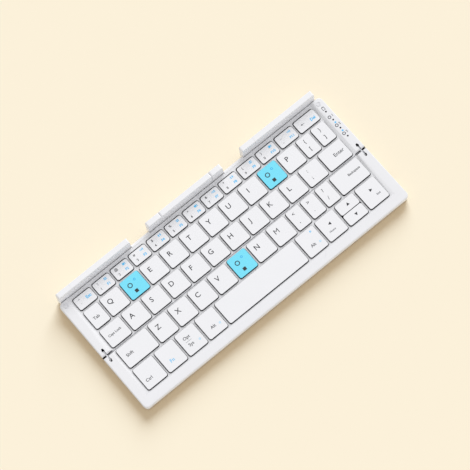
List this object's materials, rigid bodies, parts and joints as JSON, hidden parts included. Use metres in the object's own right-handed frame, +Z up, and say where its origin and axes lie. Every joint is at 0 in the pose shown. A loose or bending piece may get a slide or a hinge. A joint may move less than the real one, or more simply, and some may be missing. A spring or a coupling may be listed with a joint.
{
  "type": "folding keyboard",
  "caption": "Pocket keyboard whose hinged halves fold face to face, with sprung keys, upright guards and a tilting prop along the back edge, and rubber feet.",
  "frame": {"origin": "middle of the bounding box, on the surface that the feet stand on", "axes": "+X to the right along the key rows, +Y away from the typist towards the guards, +Z up"},
  "size_m": [0.227, 0.0982, 0.0163],
  "materials": {
    "case": "satin",
    "guard": "satin",
    "white_keys": "satin",
    "cyan_keys": "satin",
    "plate": "satin",
    "membrane": "matte",
    "dome_rubber": "matte",
    "lift_plastic": "satin",
    "board": "satin",
    "port": "satin",
    "light": "gloss",
    "battery": "satin",
    "cable": "satin",
    "magnet": "polished",
    "bumper": "matte",
    "foot": "matte",
    "screw": "satin",
    "link": "satin",
    "pin": "satin"
  },
  "bodies": {
    "back_half": {"back_bottom_shell": "case", "back_top_frame": "case", "back_support_plate": "plate", "back_membrane": "membrane", "back_dome_sheet": "dome_rubber", "back_scissor_lifts": "lift_plastic", "status_lights": "light", "fold_cable": "cable", "back_magnets": "magnet", "corner_bumpers": "bumper", "back_feet": "foot", "back_screws": "screw", "left_guard": "guard", "right_guard": "guard", "prop_posts": "guard"},
    "fold_links": {"hinge_links": "link", "hinge_pins": "pin"},
    "front_half": {"front_bottom_shell": "case", "front_top_frame": "case", "front_support_plate": "plate", "front_membrane": "membrane", "front_dome_sheet": "dome_rubber", "front_scissor_lifts": "lift_plastic", "controller_board": "board", "usb_port": "port", "battery": "battery", "front_magnets": "magnet", "front_feet": "foot", "front_screws": "screw"},
    "prop": {"stand_prop": "guard"},
    "letter_q": {"letter_q": "white_keys"},
    "letter_w": {"letter_w": "cyan_keys"},
    "letter_e": {"letter_e": "white_keys"},
    "letter_r": {"letter_r": "white_keys"},
    "letter_t": {"letter_t": "white_keys"},
    "letter_y": {"letter_y": "white_keys"},
    "letter_u": {"letter_u": "white_keys"},
    "letter_i": {"letter_i": "white_keys"},
    "letter_o": {"letter_o": "cyan_keys"},
    "letter_p": {"letter_p": "white_keys"},
    "letter_a": {"letter_a": "white_keys"},
    "letter_s": {"letter_s": "white_keys"},
    "letter_d": {"letter_d": "white_keys"},
    "letter_f": {"letter_f": "white_keys"},
    "letter_g": {"letter_g": "white_keys"},
    "letter_h": {"letter_h": "white_keys"},
    "letter_j": {"letter_j": "white_keys"},
    "letter_k": {"letter_k": "white_keys"},
    "letter_l": {"letter_l": "white_keys"},
    "letter_z": {"letter_z": "white_keys"},
    "letter_x": {"letter_x": "white_keys"},
    "letter_c": {"letter_c": "white_keys"},
    "letter_v": {"letter_v": "white_keys"},
    "letter_b": {"letter_b": "cyan_keys"},
    "letter_n": {"letter_n": "white_keys"},
    "letter_m": {"letter_m": "white_keys"},
    "space_bar": {"space_bar": "white_keys"},
    "number_row_keys": {"number_row_keys": "white_keys"},
    "back_side_keys": {"back_side_keys": "white_keys"},
    "front_side_keys": {"front_side_keys": "white_keys"}
  },
  "joints": [
    {"name": "link_fold", "type": "hinge", "parent": "back_half", "child": "fold_links", "pos_m": [0, 0.00072, 0.0046], "axis": [-1, 0, 0], "range_deg": [0, 90]},
    {"name": "front_fold", "type": "hinge", "parent": "fold_links", "child": "front_half", "pos_m": [0, -0.00737, 0.0046], "axis": [-1, 0, 0], "range_deg": [0, 90], "deforming": ["fold_cable"]},
    {"name": "prop_tilt", "type": "hinge", "parent": "back_half", "child": "prop", "pos_m": [-0.0013, 0.04707, 0.00295], "axis": [-1, 0, 0], "range_deg": [0, 60]},
    {"name": "press_letter_q", "type": "slide", "parent": "back_half", "child": "letter_q", "axis": [0, 0, -1], "range_m": [0, 0.001], "stiffness_N_per_m": 150, "deforming": ["back_dome_sheet", "back_scissor_lifts"]},
    {"name": "press_letter_w", "type": "slide", "parent": "back_half", "child": "letter_w", "axis": [0, 0, -1], "range_m": [0, 0.001], "stiffness_N_per_m": 150},
    {"name": "press_letter_e", "type": "slide", "parent": "back_half", "child": "letter_e", "axis": [0, 0, -1], "range_m": [0, 0.001], "stiffness_N_per_m": 150},
    {"name": "press_letter_r", "type": "slide", "parent": "back_half", "child": "letter_r", "axis": [0, 0, -1], "range_m": [0, 0.001], "stiffness_N_per_m": 150},
    {"name": "press_letter_t", "type": "slide", "parent": "back_half", "child": "letter_t", "axis": [0, 0, -1], "range_m": [0, 0.001], "stiffness_N_per_m": 150},
    {"name": "press_letter_y", "type": "slide", "parent": "back_half", "child": "letter_y", "axis": [0, 0, -1], "range_m": [0, 0.001], "stiffness_N_per_m": 150},
    {"name": "press_letter_u", "type": "slide", "parent": "back_half", "child": "letter_u", "axis": [0, 0, -1], "range_m": [0, 0.001], "stiffness_N_per_m": 150},
    {"name": "press_letter_i", "type": "slide", "parent": "back_half", "child": "letter_i", "axis": [0, 0, -1], "range_m": [0, 0.001], "stiffness_N_per_m": 150},
    {"name": "press_letter_o", "type": "slide", "parent": "back_half", "child": "letter_o", "axis": [0, 0, -1], "range_m": [0, 0.001], "stiffness_N_per_m": 150},
    {"name": "press_letter_p", "type": "slide", "parent": "back_half", "child": "letter_p", "axis": [0, 0, -1], "range_m": [0, 0.001], "stiffness_N_per_m": 150},
    {"name": "press_letter_a", "type": "slide", "parent": "back_half", "child": "letter_a", "axis": [0, 0, -1], "range_m": [0, 0.001], "stiffness_N_per_m": 150},
    {"name": "press_letter_s", "type": "slide", "parent": "back_half", "child": "letter_s", "axis": [0, 0, -1], "range_m": [0, 0.001], "stiffness_N_per_m": 150},
    {"name": "press_letter_d", "type": "slide", "parent": "back_half", "child": "letter_d", "axis": [0, 0, -1], "range_m": [0, 0.001], "stiffness_N_per_m": 150},
    {"name": "press_letter_f", "type": "slide", "parent": "back_half", "child": "letter_f", "axis": [0, 0, -1], "range_m": [0, 0.001], "stiffness_N_per_m": 150},
    {"name": "press_letter_g", "type": "slide", "parent": "back_half", "child": "letter_g", "axis": [0, 0, -1], "range_m": [0, 0.001], "stiffness_N_per_m": 150},
    {"name": "press_letter_h", "type": "slide", "parent": "back_half", "child": "letter_h", "axis": [0, 0, -1], "range_m": [0, 0.001], "stiffness_N_per_m": 150},
    {"name": "press_letter_j", "type": "slide", "parent": "back_half", "child": "letter_j", "axis": [0, 0, -1], "range_m": [0, 0.001], "stiffness_N_per_m": 150},
    {"name": "press_letter_k", "type": "slide", "parent": "back_half", "child": "letter_k", "axis": [0, 0, -1], "range_m": [0, 0.001], "stiffness_N_per_m": 150},
    {"name": "press_letter_l", "type": "slide", "parent": "back_half", "child": "letter_l", "axis": [0, 0, -1], "range_m": [0, 0.001], "stiffness_N_per_m": 150},
    {"name": "press_letter_z", "type": "slide", "parent": "front_half", "child": "letter_z", "axis": [0, 0, -1], "range_m": [0, 0.001], "stiffness_N_per_m": 150, "deforming": ["front_dome_sheet", "front_scissor_lifts"]},
    {"name": "press_letter_x", "type": "slide", "parent": "front_half", "child": "letter_x", "axis": [0, 0, -1], "range_m": [0, 0.001], "stiffness_N_per_m": 150},
    {"name": "press_letter_c", "type": "slide", "parent": "front_half", "child": "letter_c", "axis": [0, 0, -1], "range_m": [0, 0.001], "stiffness_N_per_m": 150},
    {"name": "press_letter_v", "type": "slide", "parent": "front_half", "child": "letter_v", "axis": [0, 0, -1], "range_m": [0, 0.001], "stiffness_N_per_m": 150},
    {"name": "press_letter_b", "type": "slide", "parent": "front_half", "child": "letter_b", "axis": [0, 0, -1], "range_m": [0, 0.001], "stiffness_N_per_m": 150},
    {"name": "press_letter_n", "type": "slide", "parent": "front_half", "child": "letter_n", "axis": [0, 0, -1], "range_m": [0, 0.001], "stiffness_N_per_m": 150},
    {"name": "press_letter_m", "type": "slide", "parent": "front_half", "child": "letter_m", "axis": [0, 0, -1], "range_m": [0, 0.001], "stiffness_N_per_m": 150},
    {"name": "press_space_bar", "type": "slide", "parent": "front_half", "child": "space_bar", "axis": [0, 0, -1], "range_m": [0, 0.001], "stiffness_N_per_m": 300},
    {"name": "press_number_row_keys", "type": "slide", "parent": "back_half", "child": "number_row_keys", "axis": [0, 0, -1], "range_m": [0, 0.001], "stiffness_N_per_m": 1950},
    {"name": "press_back_side_keys", "type": "slide", "parent": "back_half", "child": "back_side_keys", "axis": [0, 0, -1], "range_m": [0, 0.001], "stiffness_N_per_m": 900},
    {"name": "press_front_side_keys", "type": "slide", "parent": "front_half", "child": "front_side_keys", "axis": [0, 0, -1], "range_m": [0, 0.001], "stiffness_N_per_m": 2100}
  ],
  "couplings": [
    {"joint": "front_fold", "follows": "link_fold", "ratio": 1}
  ]
}
